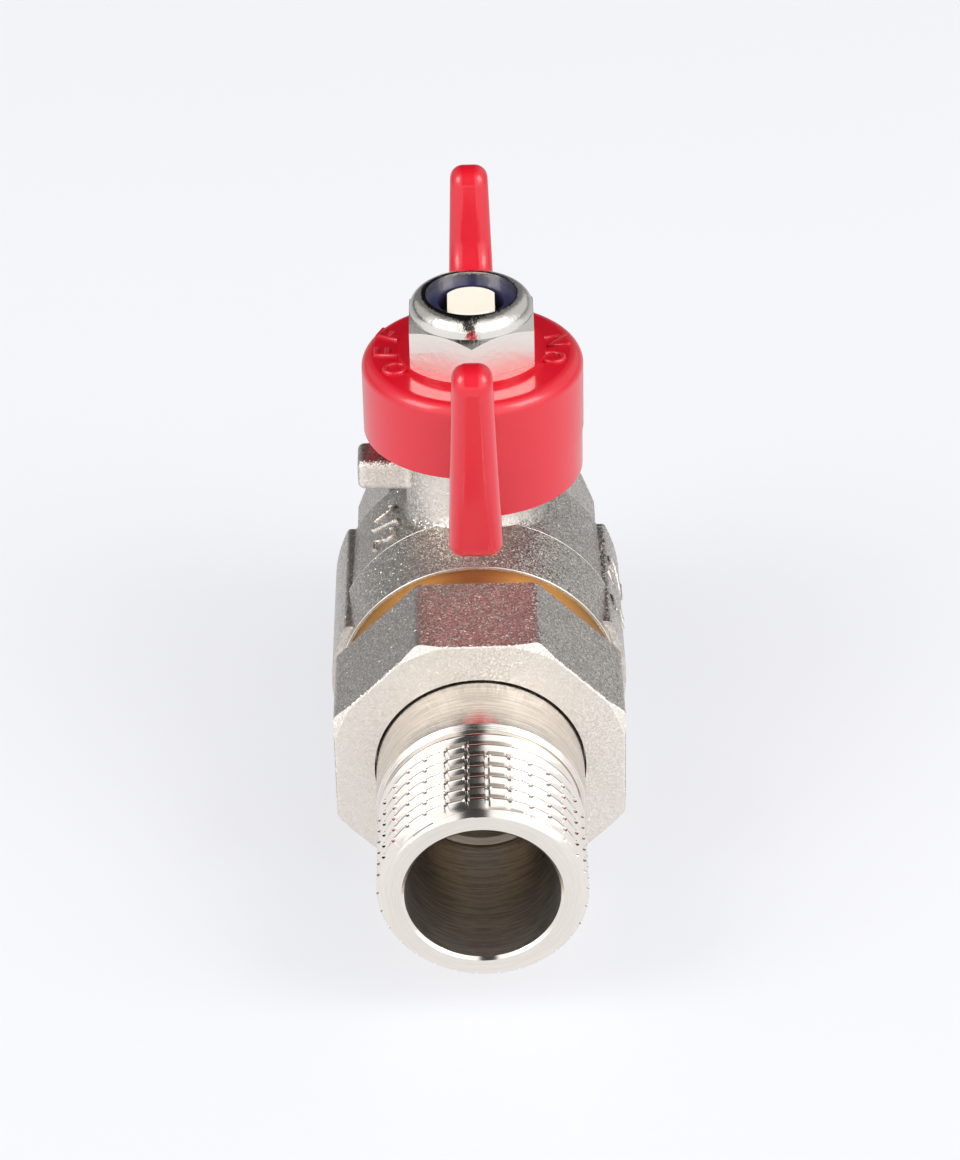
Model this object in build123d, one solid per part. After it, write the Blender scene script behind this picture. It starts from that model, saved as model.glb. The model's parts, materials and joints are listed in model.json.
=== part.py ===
# Isolating ball valve, half inch, with a union tail. Millimetres.
# The water flows along Y. The female port's mouth is at the origin and faces +Y, and the
# threaded tail points to -Y. The stem stands up along +Z, and the handle is in its open place.

import os
from math import cos, radians, sqrt, tan

from build123d import *

# Pipe threads, as plain cylinders at their outer diameter
half_inch_thread_radius = 20.955 / 2
union_thread_radius = 26.441 / 2
thread_clearance = 0.03
port_thread_depth = 10.5

# Waterway
waterway_radius = 7.2
ball_radius = 11.0
ball_bore_radius = 7.0
chamber_clearance = 0.4
port_to_stem = 22.5

# Seats, on both sides of the ball
seat_outer_radius = 10.55
seat_depth = 4.0
seat_inner_distance = 6.4
fit_gap = 0.05

# Forged body, its distances along the flow counted from the stem's axis
band_radius = 15.45
band_mouth_wall = 0.3
band_front_distance = 14.8
band_back_distance = 6.3
middle_front_radius = 15.2
middle_back_radius = 15.0
middle_back_distance = 6.0
forging_edge_rounding = 0.2
side_pad_radius = 15.7
side_pad_half_height = 7.0
side_pad_front_distance = 13.6
side_pad_rounding = 0.5
port_end_across_flats = 25.0
port_end_edge_rounding = 0.3
port_end_chamfer_length = 0.5
port_end_chamfer_depth = 0.9
neck_radius = 7.4
neck_top_height = 26.0
neck_fillet = 1.6
neck_root_reach = 10.2
lug_length = 12.5
lug_end_half_width = 2.25
lug_root_half_width = 2.95
lug_bottom_height = 16.9
lug_top_height = 20.4
lug_rounding = 0.7
lug_root_fillet = 1.2

# Screwed-in connector
flange_radius = 14.55
flange_front_distance = 14.5
flange_thickness = 2.5
connector_thread_radius = 12.6
connector_nose_distance = 22.9
union_thread_length = 6.9
union_thread_lead = 0.8
union_relief_radius = 12.2
connector_ring_radius = 0.75

# Tail piece and union nut
gasket_thickness = 1.5
gasket_outer_radius = 12.4
tail_collar_radius = 12.9
tail_collar_thickness = 2.8
tail_neck_radius = 10.35
tail_length = 27.35
tail_thread_length = 13.85
tail_relief_radius = 9.75
tail_relief_length = 0.9
tail_mouth_radius = 7.745
tail_mouth_depth = 18.85
tail_mouth_chamfer = 0.3
tail_end_chamfer_length = 0.6
tail_end_chamfer_depth = 0.95
nut_across_flats = 30.0
nut_length = 11.95
nut_lip_thickness = 2.6
nut_hole_radius = 10.92
nut_collar_gap = 0.2
nut_thread_gap = 0.08
nut_face_radius = 15.25
nut_chamfer_length = 0.6
nut_edge_rounding = 1.2
nut_front_rounding = 0.3
nut_back_rounding = 0.2

# Stem, its heights counted from the ball's centre
stem_radius = 4.0
stem_bore_gap = 0.05
stem_flat_distance = 2.475
stem_top_drop = 0.8
stem_top_chamfer = 1.1
stem_collar_radius = 5.0
stem_collar_bottom = 11.7
stem_collar_top = 13.6
thrust_washer_thickness = 1.0
blade_half_thickness = 2.0
blade_half_length = 4.4
blade_bottom_height = 8.4
slot_gap = 0.05
slot_half_length = 6.0
slot_floor_height = 8.2
stem_ring_section = 0.65
stem_ring_heights = (16.2, 18.4)
stem_groove_half_width = 0.8
packing_bottom_height = 19.6
packing_height = 2.5
packing_radius = 5.45
gland_hex_across_flats = 12.0
gland_hex_height = 2.1

# Handle
hub_radius = 11.7
hub_inner_radius = 9.7
hub_seat_gap = 0.3
hub_top_thickness = 3.9
hub_edge_rounding = 1.4
hub_boss_radius = 7.8
hub_boss_height = 0.6
short_skirt_height = 23.7
long_skirt_height = 18.95
skirt_lip_inset = 0.12
stop_gap = 0.1
wing_inner_reach = 10.2
wing_inner_rounding = 0.3
wing_foot_reach = 19.7
wing_foot_width = 2.6
wing_foot_height = 18.75
wing_tip_reach = 24.6
wing_top_height = 43.0
wing_foot_half_thickness = 2.82
wing_tip_half_thickness = 2.0
wing_tip_width = 4.2
wing_edge_rounding = 1.45
wing_root_height = 23.4
wing_root_run = 2.1
wing_root_rounding = 3.0
wing_foot_roundings = (1.2, 1.6)
wing_tip_roundings = (2.0, 1.9)
wing_web_run = 2.2
wing_web_drop = 0.4
wing_web_rounding = 4.5
drive_hole_gap = 0.05

# Self-locking nut on the stem
lock_nut_across_flats = 13.0
lock_nut_height = 6.4
lock_nut_hex_height = 4.4
lock_nut_chamfer_angle = 30
lock_nut_bore_gap = 0.05
collar_outer_radius = 6.45
collar_inner_radius = 4.75
collar_rounding = 1.6
insert_outer_radius = 5.3
insert_inner_radius = 3.5
insert_height = 1.9
insert_top_drop = 0.9

stem_y = -port_to_stem
stem_axis = Axis((0, stem_y, 0), (0, 0, 1))
chamber_radius = ball_radius + chamber_clearance
seat_pocket_radius = seat_outer_radius + fit_gap
seat_back_distance = seat_inner_distance + seat_depth
port_radius = half_inch_thread_radius + thread_clearance
flange_back_distance = flange_front_distance - flange_thickness
nose_y = stem_y - connector_nose_distance
tail_inner_y = nose_y - gasket_thickness
tail_collar_front_y = tail_inner_y - tail_collar_thickness
tail_end_y = tail_inner_y - tail_length
tail_thread_start_y = tail_end_y + tail_thread_length
nut_lip_y = tail_collar_front_y - nut_collar_gap
nut_front_y = nut_lip_y - nut_lip_thickness
nut_back_y = nut_front_y + nut_length
nut_thread_radius = union_thread_radius + nut_thread_gap
octagon_half_turn = 22.5
packing_top_height = packing_bottom_height + packing_height
gland_top_height = neck_top_height + gland_hex_height
hub_seat_height = gland_top_height + hub_seat_gap
hub_top_height = hub_seat_height + hub_top_thickness
boss_top_height = hub_top_height + hub_boss_height
lock_nut_top = boss_top_height + lock_nut_height
stem_top_height = lock_nut_top - stem_top_drop


def turned_on_flow(points):
    """Solid turned about the flow axis from (y, radius) corners."""
    outline = Polyline(*[(0, y, radius) for y, radius in points], close=True)
    return revolve(make_face(outline), axis=Axis.Y)


def turned_on_stem(points):
    """Solid turned about the stem's axis from (radius, height) corners."""
    outline = Polyline(*[(radius, stem_y, height) for radius, height in points], close=True)
    return revolve(make_face(outline), axis=stem_axis)


def flow_cylinder(radius, y_front, y_back):
    corners = [(y_front, 0), (y_front, radius), (y_back, radius), (y_back, 0)]
    return turned_on_flow(corners)


def stem_cylinder(radius, bottom, top):
    corners = [(0, bottom), (radius, bottom), (radius, top), (0, top)]
    return turned_on_stem(corners)


def bar_along_flow(section, y_front, y_back):
    """Straight bar with the given XZ section."""
    return extrude(Pos(0, y_back, 0) * (Plane.XZ * section), amount=y_back - y_front)


def octagon(across_flats, turn):
    return RegularPolygon(across_flats / 2, 8, major_radius=False, rotation=turn)


def octagon_corner(across_flats):
    return across_flats / 2 / cos(radians(octagon_half_turn))


def rounded_back(solid):
    """Solid with the edges of its back face rounded as a forging's are."""
    return fillet(solid.edges().group_by(Axis.Y)[-1], forging_edge_rounding)


def hexagon_block(across_flats, bottom, top):
    """Hexagonal block on the stem's axis with a corner to the front."""
    section = RegularPolygon(across_flats / 2, 6, major_radius=False, rotation=30)
    return extrude(Pos(0, stem_y, bottom) * section, amount=top - bottom)


def block(x_range, y_range, z_range):
    size = [high - low for low, high in (x_range, y_range, z_range)]
    middle = [(high + low) / 2 for low, high in (x_range, y_range, z_range)]
    return Pos(*middle) * Box(*size)


def make_band():
    """Round front band, a little smaller towards the mouth that holds the connector."""
    front_y = stem_y - band_front_distance
    back_y = stem_y - band_back_distance
    return rounded_back(turned_on_flow([
        (front_y, 0),
        (front_y, flange_radius + fit_gap + band_mouth_wall),
        (back_y, band_radius),
        (back_y, 0),
    ]))


def make_middle():
    """Round middle that holds the ball, a little smaller than the band and tapered backwards."""
    front_y = stem_y - band_back_distance - 1
    back_y = stem_y + middle_back_distance
    return rounded_back(turned_on_flow([
        (front_y, 0),
        (front_y, middle_front_radius),
        (back_y, middle_back_radius),
        (back_y, 0),
    ]))


def make_side_pads():
    """Flat-topped pads that run along both sides of the band and the middle."""
    front_y = stem_y - side_pad_front_distance
    back_y = stem_y + middle_back_distance
    pads = flow_cylinder(side_pad_radius, front_y, back_y) & block(
        (-side_pad_radius, side_pad_radius),
        (front_y, back_y),
        (-side_pad_half_height, side_pad_half_height),
    )
    return fillet(pads.edges().filter_by(Axis.Y), side_pad_rounding)


def make_port_end():
    """Octagonal end for a spanner, with corners on top and at the sides."""
    bar = bar_along_flow(octagon(port_end_across_flats, 0), stem_y, 0)
    bar = fillet(bar.edges().filter_by(Axis.Y), port_end_edge_rounding)
    corner = octagon_corner(port_end_across_flats)
    return bar & turned_on_flow([
        (stem_y, 0),
        (stem_y, corner),
        (-port_end_chamfer_length, corner),
        (0, corner - port_end_chamfer_depth),
        (0, 0),
    ])


def at_neck_foot(edge):
    points = [edge @ share for share in (0, 0.25, 0.5, 0.75, 1)]
    reaches = [sqrt(p.X**2 + (p.Y - stem_y) ** 2) for p in points]
    heights = [p.Z for p in points]
    on_neck = all(abs(reach - neck_radius) < 0.01 for reach in reaches)
    return on_neck and min(heights) > seat_outer_radius / 2 and max(heights) < lug_bottom_height - 0.1


def make_neck_foot():
    """Foot of the neck, blended into the round middle and, behind it, into the port end."""
    low = seat_outer_radius / 2
    front_y = stem_y - neck_root_reach
    back_y = stem_y + neck_root_reach
    barrel = flow_cylinder(middle_back_radius, front_y, back_y)
    port_bar = bar_along_flow(octagon(port_end_across_flats, 0), front_y, back_y)
    roots = []
    for blank in (barrel, port_bar):
        root = blank & stem_cylinder(neck_root_reach, low, lug_bottom_height)
        root += stem_cylinder(neck_radius, low, lug_bottom_height)
        roots.append(fillet(root.edges().filter_by(at_neck_foot), neck_fillet))
    behind = block(
        (-neck_root_reach, neck_root_reach),
        (stem_y + middle_back_distance, back_y),
        (0, lug_bottom_height),
    )
    return (roots[0] - behind) + roots[1]


def make_neck_with_lug():
    """Rest of the neck with the tapered lug that stops the handle at both ends of its turn."""
    outline = Pos(0, stem_y, 0) * Circle(neck_radius) + make_face(Polyline(
        (0, stem_y - lug_root_half_width),
        (-lug_length, stem_y - lug_end_half_width),
        (-lug_length, stem_y + lug_end_half_width),
        (0, stem_y + lug_root_half_width),
        close=True,
    ))
    roots = outline.vertices().filter_by(lambda corner: -neck_radius < corner.X < -lug_root_half_width)
    outline = fillet(roots, lug_root_fillet)
    lug = extrude(Pos(0, 0, lug_bottom_height) * outline, amount=lug_top_height - lug_bottom_height)
    lug = fillet(lug.edges().filter_by(lambda edge: (edge @ 0.5).X < -neck_radius), lug_rounding)
    return lug + stem_cylinder(neck_radius, lug_top_height, neck_top_height)


def make_valve_body():
    recess_back_y = stem_y - flange_back_distance + 2 * connector_ring_radius
    band_front_y = stem_y - band_front_distance
    bored = make_band() + make_middle() + make_side_pads() + make_port_end()
    bored += make_neck_foot() + make_neck_with_lug()
    bored -= flow_cylinder(flange_radius + fit_gap, band_front_y, stem_y - flange_back_distance)
    ring_radius = connector_thread_radius + 2 * connector_ring_radius + 2 * fit_gap
    bored -= flow_cylinder(ring_radius, stem_y - flange_back_distance, recess_back_y)
    bored -= flow_cylinder(
        connector_thread_radius + fit_gap, recess_back_y, stem_y - seat_inner_distance
    )
    bored -= flow_cylinder(
        chamber_radius, stem_y - seat_inner_distance, stem_y + seat_inner_distance
    )
    bored -= flow_cylinder(
        seat_pocket_radius, stem_y + seat_inner_distance, stem_y + seat_back_distance
    )
    bored -= flow_cylinder(waterway_radius, stem_y, -port_thread_depth)
    bored -= flow_cylinder(port_radius, -port_thread_depth, 0)
    washer_top = stem_collar_top + thrust_washer_thickness
    bored -= stem_cylinder(stem_collar_radius + 2 * fit_gap, ball_radius / 2, washer_top)
    bored -= stem_cylinder(stem_radius + stem_bore_gap, washer_top, packing_bottom_height)
    bored -= stem_cylinder(packing_radius + fit_gap, packing_bottom_height, neck_top_height)
    return bored


def make_end_connector():
    """Brass connector: union thread outside, flange, body thread and the front seat's pocket."""
    flange_front_y = stem_y - flange_front_distance
    flange_back_y = stem_y - flange_back_distance
    inner_y = stem_y - seat_inner_distance
    seat_y = stem_y - seat_back_distance
    thread_end_y = nose_y + union_thread_length
    return turned_on_flow([
        (nose_y, waterway_radius),
        (nose_y, union_thread_radius - union_thread_lead),
        (nose_y + union_thread_lead, union_thread_radius),
        (thread_end_y, union_thread_radius),
        (thread_end_y, union_relief_radius),
        (flange_front_y, union_relief_radius),
        (flange_front_y, flange_radius),
        (flange_back_y, flange_radius),
        (flange_back_y, connector_thread_radius),
        (inner_y, connector_thread_radius),
        (inner_y, seat_pocket_radius),
        (seat_y, seat_pocket_radius),
        (seat_y, waterway_radius),
    ])


def make_connector_ring():
    centre_y = stem_y - flange_back_distance + connector_ring_radius
    centre_radius = connector_thread_radius + connector_ring_radius + fit_gap
    ring = Torus(centre_radius, connector_ring_radius - fit_gap / 2)
    return Pos(0, centre_y, 0) * Rot(90, 0, 0) * ring


def make_ball():
    """Chromed ball with the waterway through it and the stem's slot across its top."""
    ball = Pos(0, stem_y, 0) * Sphere(ball_radius)
    ball -= flow_cylinder(ball_bore_radius, stem_y - ball_radius, stem_y + ball_radius)
    slot_half_width = blade_half_thickness + slot_gap
    ball -= block(
        (-slot_half_length, slot_half_length),
        (stem_y - slot_half_width, stem_y + slot_half_width),
        (slot_floor_height, ball_radius + 1),
    )
    return ball


def make_seat(side):
    """Seat ring whose inner edge follows the ball; side is -1 at the front and 1 at the back."""
    near, far = sorted((side * seat_inner_distance, side * seat_back_distance))
    ring = flow_cylinder(seat_outer_radius, stem_y + near, stem_y + far)
    ring -= flow_cylinder(waterway_radius, stem_y + near, stem_y + far)
    return ring - Pos(0, stem_y, 0) * Sphere(ball_radius + fit_gap)


def make_stem():
    """Stem with a blade for the ball, a collar that can't blow out, and a flatted M8 end."""
    groove_radius = stem_radius - 2 * stem_ring_section
    stem = stem_cylinder(stem_collar_radius, stem_collar_bottom, stem_collar_top)
    stem += turned_on_stem([
        (0, stem_collar_bottom),
        (stem_radius, stem_collar_bottom),
        (stem_radius, stem_top_height - stem_top_chamfer),
        (stem_radius - stem_top_chamfer, stem_top_height),
        (0, stem_top_height),
    ])
    stem += block(
        (-blade_half_length, blade_half_length),
        (stem_y - blade_half_thickness, stem_y + blade_half_thickness),
        (blade_bottom_height, stem_collar_bottom),
    ) & stem_cylinder(stem_collar_radius, blade_bottom_height, stem_collar_bottom)
    for height in stem_ring_heights:
        low = height - stem_groove_half_width
        high = height + stem_groove_half_width
        groove = stem_cylinder(stem_radius + 1, low, high) - stem_cylinder(groove_radius, low, high)
        stem -= groove
    for side in (-1, 1):
        near, far = sorted((side * stem_flat_distance, side * (stem_radius + 1)))
        stem -= block(
            (near, far),
            (stem_y - stem_radius, stem_y + stem_radius),
            (hub_seat_height, stem_top_height),
        )
    return stem


def make_stem_ring(height):
    centre_radius = stem_radius - stem_ring_section
    return Pos(0, stem_y, height) * Torus(centre_radius, stem_ring_section)


def make_thrust_washer():
    washer_top = stem_collar_top + thrust_washer_thickness
    inner = stem_radius + fit_gap
    washer = stem_cylinder(stem_collar_radius, stem_collar_top, washer_top)
    return washer - stem_cylinder(inner, stem_collar_top, washer_top)


def make_packing():
    packing = stem_cylinder(packing_radius, packing_bottom_height, packing_top_height)
    bore = stem_cylinder(stem_radius + fit_gap, packing_bottom_height, packing_top_height)
    return packing - bore


def make_gland_nut():
    """Hollow screw in the neck's mouth that squeezes the packing."""
    head = hexagon_block(gland_hex_across_flats, neck_top_height, gland_top_height)
    nut = head + stem_cylinder(packing_radius, packing_top_height, neck_top_height)
    return nut - stem_cylinder(stem_radius + 2 * fit_gap, packing_top_height, gland_top_height)


def make_hub():
    """Cup that covers the neck, with a skirt cut short over a bit more than a quarter turn."""
    hub = stem_cylinder(hub_radius, short_skirt_height, hub_top_height)
    hub = fillet(hub.edges().group_by(Axis.Z)[-1], hub_edge_rounding)
    lip_radius = hub_radius - skirt_lip_inset
    lip = stem_cylinder(lip_radius, long_skirt_height, short_skirt_height)
    lug_taper = (lug_root_half_width - lug_end_half_width) / lug_length
    stop_distance = lug_root_half_width - lug_taper * hub_inner_radius + stop_gap
    lip -= block(
        (-hub_radius - 1, stop_distance),
        (stem_y - hub_radius - 1, stem_y + stop_distance),
        (long_skirt_height, short_skirt_height),
    )
    hub += lip
    return hub + stem_cylinder(hub_boss_radius, hub_top_height - 1, boss_top_height)


def make_wing():
    """Upright wing on the +Y side: a tapered plate that leans out and ends in a round tip."""
    tip_inner_reach = wing_tip_reach - wing_tip_width
    corners = [
        (wing_inner_reach, wing_root_height, wing_inner_rounding),
        (hub_radius + wing_root_run, wing_root_height, wing_root_rounding),
        (wing_foot_reach - wing_foot_width, wing_foot_height, wing_foot_roundings[0]),
        (wing_foot_reach, wing_foot_height, wing_foot_roundings[1]),
        (wing_tip_reach, wing_top_height, wing_tip_roundings[0]),
        (tip_inner_reach, wing_top_height, wing_tip_roundings[1]),
        (tip_inner_reach - wing_web_run, hub_top_height, wing_web_rounding),
        (wing_inner_reach, hub_top_height - wing_web_drop, wing_inner_rounding),
    ]
    points = [(0, stem_y + reach, height) for reach, height, rounding in corners]
    radii = [rounding for reach, height, rounding in corners]
    outline = FilletPolyline(*points, radius=radii, close=True)
    plate = extrude(make_face(outline), amount=wing_foot_half_thickness, both=True)
    taper = Polyline(
        (-wing_foot_half_thickness, 0, wing_foot_height),
        (wing_foot_half_thickness, 0, wing_foot_height),
        (wing_tip_half_thickness, 0, wing_top_height),
        (-wing_tip_half_thickness, 0, wing_top_height),
        close=True,
    )
    wedge = extrude(make_face(taper), amount=2 * wing_tip_reach + port_to_stem, both=True)
    wing = plate & wedge
    outer = wing.edges().filter_by(lambda edge: (edge @ 0.5).Y > stem_y + hub_radius)
    return fillet(outer, min(wing_edge_rounding, 0.9 * wing_tip_half_thickness))


def make_handle():
    wing = make_wing()
    blank = make_hub() + wing + wing.rotate(stem_axis, 180)
    blank -= stem_cylinder(hub_inner_radius, long_skirt_height - 1, hub_seat_height)
    hole = stem_cylinder(stem_radius + drive_hole_gap, hub_seat_height, boss_top_height)
    hole &= block(
        (-stem_flat_distance - drive_hole_gap, stem_flat_distance + drive_hole_gap),
        (stem_y - hub_radius, stem_y + hub_radius),
        (hub_seat_height, boss_top_height),
    )
    return blank - hole


def make_lock_nut():
    """Thin self-locking nut: chamfered hexagon below, rolled collar above."""
    hex_top = boss_top_height + lock_nut_hex_height
    corner_radius = lock_nut_across_flats / 2 / cos(radians(30))
    chamfer_drop = (corner_radius - collar_outer_radius) * tan(radians(lock_nut_chamfer_angle))
    hexagon = hexagon_block(lock_nut_across_flats, boss_top_height, hex_top)
    hexagon &= turned_on_stem([
        (0, boss_top_height),
        (corner_radius, boss_top_height),
        (corner_radius, hex_top - chamfer_drop),
        (collar_outer_radius, hex_top),
        (0, hex_top),
    ])
    collar = stem_cylinder(collar_outer_radius, boss_top_height, lock_nut_top)
    collar = fillet(collar.edges().group_by(Axis.Z)[-1], collar_rounding)
    nut = hexagon + collar
    mouth_floor = lock_nut_top - insert_top_drop
    nut -= stem_cylinder(collar_inner_radius, mouth_floor, lock_nut_top)
    nut -= stem_cylinder(insert_outer_radius, mouth_floor - insert_height, mouth_floor)
    return nut - stem_cylinder(stem_radius + lock_nut_bore_gap, boss_top_height, lock_nut_top)


def make_lock_insert(stem):
    """Nylon ring, formed to the stem that was driven through it."""
    top = lock_nut_top - insert_top_drop
    bottom = top - insert_height
    ring = stem_cylinder(insert_outer_radius, bottom, top)
    ring -= stem_cylinder(insert_inner_radius, bottom, top)
    return ring - stem


def make_union_nut():
    """Octagonal nut: a lip that draws the tail's collar, and the union thread behind it."""
    nut = bar_along_flow(octagon(nut_across_flats, octagon_half_turn), nut_front_y, nut_back_y)
    nut = fillet(nut.edges().filter_by(Axis.Y), nut_edge_rounding)
    nut = fillet(nut.edges().group_by(Axis.Y)[0], nut_front_rounding)
    nut = fillet(nut.edges().group_by(Axis.Y)[-1], nut_back_rounding)
    corner_radius = octagon_corner(nut_across_flats)
    nut &= turned_on_flow([
        (nut_front_y, 0),
        (nut_front_y, nut_face_radius),
        (nut_front_y + nut_chamfer_length, corner_radius),
        (nut_back_y, corner_radius),
        (nut_back_y, 0),
    ])
    nut -= flow_cylinder(nut_hole_radius, nut_front_y, nut_lip_y)
    return nut - flow_cylinder(nut_thread_radius, nut_lip_y, nut_back_y)


def make_tail_piece():
    """Turned tail: collar, plain neck, relief groove, thread and a two-step waterway."""
    step = tail_mouth_radius - waterway_radius
    step_y = tail_end_y + tail_mouth_depth
    return turned_on_flow([
        (tail_inner_y, waterway_radius),
        (tail_inner_y, tail_collar_radius),
        (tail_collar_front_y, tail_collar_radius),
        (tail_collar_front_y, tail_neck_radius),
        (tail_thread_start_y, tail_neck_radius),
        (tail_thread_start_y, tail_relief_radius),
        (tail_thread_start_y - tail_relief_length, tail_relief_radius),
        (tail_thread_start_y - tail_relief_length, half_inch_thread_radius),
        (tail_end_y + tail_end_chamfer_length, half_inch_thread_radius),
        (tail_end_y, half_inch_thread_radius - tail_end_chamfer_depth),
        (tail_end_y, tail_mouth_radius + tail_mouth_chamfer),
        (tail_end_y + tail_mouth_chamfer, tail_mouth_radius),
        (step_y, tail_mouth_radius),
        (step_y + step, waterway_radius),
    ])


def make_union_gasket():
    gasket = flow_cylinder(gasket_outer_radius, tail_inner_y, nose_y)
    return gasket - flow_cylinder(waterway_radius, tail_inner_y, nose_y)


stem_part = make_stem()
parts = {
    "valve_body": make_valve_body(),
    "end_connector": make_end_connector(),
    "connector_o_ring": make_connector_ring(),
    "ball": make_ball(),
    "seat_front": make_seat(-1),
    "seat_rear": make_seat(1),
    "stem": stem_part,
    "stem_thrust_washer": make_thrust_washer(),
    "stem_o_ring_lower": make_stem_ring(stem_ring_heights[0]),
    "stem_o_ring_upper": make_stem_ring(stem_ring_heights[1]),
    "stem_packing": make_packing(),
    "gland_nut": make_gland_nut(),
    "handle": make_handle(),
    "handle_nut": make_lock_nut(),
    "handle_nut_insert": make_lock_insert(stem_part),
    "union_nut": make_union_nut(),
    "tail_piece": make_tail_piece(),
    "union_gasket": make_union_gasket(),
}

os.makedirs("parts", exist_ok=True)
for name, part in parts.items():
    export_step(part, f"parts/{name}.step")
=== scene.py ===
# Isolating ball valve with a union tail. Metres, in the frame of its solids: the water flows
# along Y, the threaded tail points to -Y, and the stem stands up along +Z.
import json
from math import atan2, cos, floor, pi, radians, sin, sqrt

import bmesh
import bpy
from mathutils import Matrix, Vector


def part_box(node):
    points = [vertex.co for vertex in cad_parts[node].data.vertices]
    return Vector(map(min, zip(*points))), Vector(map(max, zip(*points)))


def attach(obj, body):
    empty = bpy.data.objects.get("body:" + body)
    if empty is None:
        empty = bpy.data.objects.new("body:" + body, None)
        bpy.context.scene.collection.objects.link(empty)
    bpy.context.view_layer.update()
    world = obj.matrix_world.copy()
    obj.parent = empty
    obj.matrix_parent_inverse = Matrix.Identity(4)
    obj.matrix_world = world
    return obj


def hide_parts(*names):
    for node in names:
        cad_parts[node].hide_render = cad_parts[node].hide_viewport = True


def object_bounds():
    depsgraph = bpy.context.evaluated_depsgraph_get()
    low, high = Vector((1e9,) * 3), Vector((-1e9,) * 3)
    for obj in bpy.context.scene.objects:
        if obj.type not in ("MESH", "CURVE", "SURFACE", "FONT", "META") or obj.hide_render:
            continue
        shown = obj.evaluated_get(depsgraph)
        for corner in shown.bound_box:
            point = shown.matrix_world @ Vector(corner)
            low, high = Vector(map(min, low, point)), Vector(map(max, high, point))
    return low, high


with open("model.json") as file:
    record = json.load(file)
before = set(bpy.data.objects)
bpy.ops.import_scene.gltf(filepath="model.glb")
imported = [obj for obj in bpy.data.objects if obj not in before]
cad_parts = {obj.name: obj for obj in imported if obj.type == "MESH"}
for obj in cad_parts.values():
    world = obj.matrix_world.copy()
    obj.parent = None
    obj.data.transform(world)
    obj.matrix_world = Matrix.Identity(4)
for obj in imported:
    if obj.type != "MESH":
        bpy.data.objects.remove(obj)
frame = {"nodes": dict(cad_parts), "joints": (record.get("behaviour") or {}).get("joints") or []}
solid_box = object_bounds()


# Camera: a long lens a third of a metre in front of the tail, a little over the handle's
# height, looking down at the ball. The picture leans by just over a degree.
mm = 0.001
handle_joint = next(joint for joint in frame["joints"] if joint["name"] == "handle_turn")
stem_y = handle_joint["pos_m"][1]
picture_height = 1160
focal_pixels = 3790.7
camera_pitch = radians(32.549)
camera_yaw = radians(-0.146)
camera_roll = radians(-1.287)
camera_place = Vector((1.182 * mm, stem_y - 349.105 * mm, 226.645 * mm))

forward = Vector((
    sin(camera_yaw) * cos(camera_pitch),
    cos(camera_yaw) * cos(camera_pitch),
    -sin(camera_pitch),
))
level_right = Vector((cos(camera_yaw), -sin(camera_yaw), 0))
level_up = level_right.cross(forward)
picture_right = level_right * cos(camera_roll) + level_up * sin(camera_roll)
picture_up = level_up * cos(camera_roll) - level_right * sin(camera_roll)

camera_data = bpy.data.cameras.new("camera")
camera_data.sensor_width = 36
camera_data.lens = focal_pixels / picture_height * camera_data.sensor_width
camera_data.clip_start = 0.01
camera_data.clip_end = 20
camera = bpy.data.objects.new("camera", camera_data)
bpy.context.collection.objects.link(camera)
camera_turn = Matrix((picture_right, picture_up, -forward)).transposed()
camera.matrix_world = Matrix.Translation(camera_place) @ camera_turn.to_4x4()
scene = bpy.context.scene
scene.camera = camera
scene.view_settings.view_transform = "Standard"


# Studio: a white table under the valve, a white tent around it that is dimmer behind, with a
# dark slit over the top and down the front, bright sides, the right one more so, and two soft
# lamps. Reflections see the table grow dimmer towards the back.
table_colour = (0.90, 0.905, 0.93)
table_glow_colour = (0.925, 0.932, 0.965)
table_glow = 0.62
table_back_tone = 0.34
table_dim_start_y = -0.03
table_dim_end_y = 0.10
table_roughness = 0.35
table_gloss = 0.3
table_half_width = 1.5
tent_colour = (0.97, 0.975, 1.0)
tent_front_strength = 1.35
tent_back_strength = 0.20
tent_front_y = -0.55
tent_back_y = 0.35
raised_start_z = 0.08
raised_end_z = 0.24
slit_centre = -0.075
slit_half_width = 0.155
slit_strength = 0.04
slit_inner_edge = 0.75 * slit_half_width
slit_outer_edge = 1.25 * slit_half_width
side_strength = 0.35
side_start = 0.35
side_end = 0.60
right_strength = 0.13
right_start_x = 0.12
right_end_x = 0.55
lamp_power = 2.2
lamp_size = 0.4
lamp_places = ((-0.55, -0.30, 0.55), (0.55, -0.30, 0.55))


def new_material(name):
    """A material with nodes, and its main shader."""
    material = bpy.data.materials.new(name)
    material.use_nodes = True
    return material, material.node_tree, material.node_tree.nodes["Principled BSDF"]


def add_node(tree, kind, inputs=(), **settings):
    """A node of a tree, its inputs either linked from sockets or set to values."""
    node = tree.nodes.new(kind)
    for name, value in settings.items():
        setattr(node, name, value)
    for socket, value in dict(inputs).items():
        if isinstance(value, bpy.types.NodeSocket):
            tree.links.new(value, node.inputs[socket])
        else:
            node.inputs[socket].default_value = value
    return node


def calculate(tree, operation, first, second=0.0):
    """Output of one math node."""
    return add_node(tree, "ShaderNodeMath", {0: first, 1: second}, operation=operation).outputs[0]


def ramp(tree, value, start, end, low, high):
    """Value that goes smoothly from low at start to high at end."""
    return add_node(
        tree, "ShaderNodeMapRange", {0: value, 1: start, 2: end, 3: low, 4: high},
        interpolation_type="SMOOTHSTEP",
    ).outputs[0]


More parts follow.
